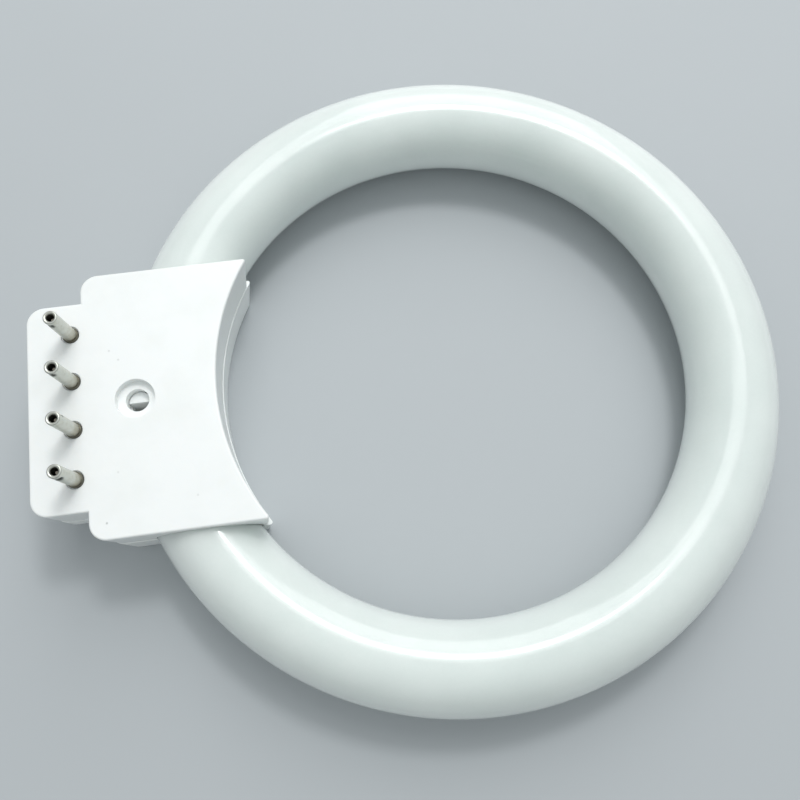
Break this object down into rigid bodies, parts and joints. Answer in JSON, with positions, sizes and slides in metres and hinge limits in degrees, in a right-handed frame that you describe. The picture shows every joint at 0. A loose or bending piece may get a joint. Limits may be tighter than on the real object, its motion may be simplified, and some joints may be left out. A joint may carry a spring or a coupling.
{
  "type": "circular fluorescent tube",
  "caption": "Small circular fluorescent tube: a milky glass ring whose ends meet inside a white moulded base with a concave front, a counterbored hole and a row of hollow contact pins.",
  "frame": {"origin": "centre of the ring, in the plane of the tube's centreline", "axes": "+Z along the ring's axis, the way the contact pins point; the base stands on the -X side and the far side of the ring on +X"},
  "size_m": [0.1335, 0.12, 0.0277],
  "materials": {
    "coated_glass": "gloss",
    "white_moulding": "satin",
    "plated_pin": "satin",
    "lead_wire": "satin"
  },
  "bodies": {
    "root": {"glass_ring": "coated_glass", "upper_base_shell": "white_moulding", "lower_base_shell": "white_moulding", "contact_pin_1": "plated_pin", "contact_pin_2": "plated_pin", "contact_pin_3": "plated_pin", "contact_pin_4": "plated_pin", "lead_wire_1": "lead_wire", "lead_wire_2": "lead_wire", "lead_wire_3": "lead_wire", "lead_wire_4": "lead_wire"}
  },
  "joints": []
}
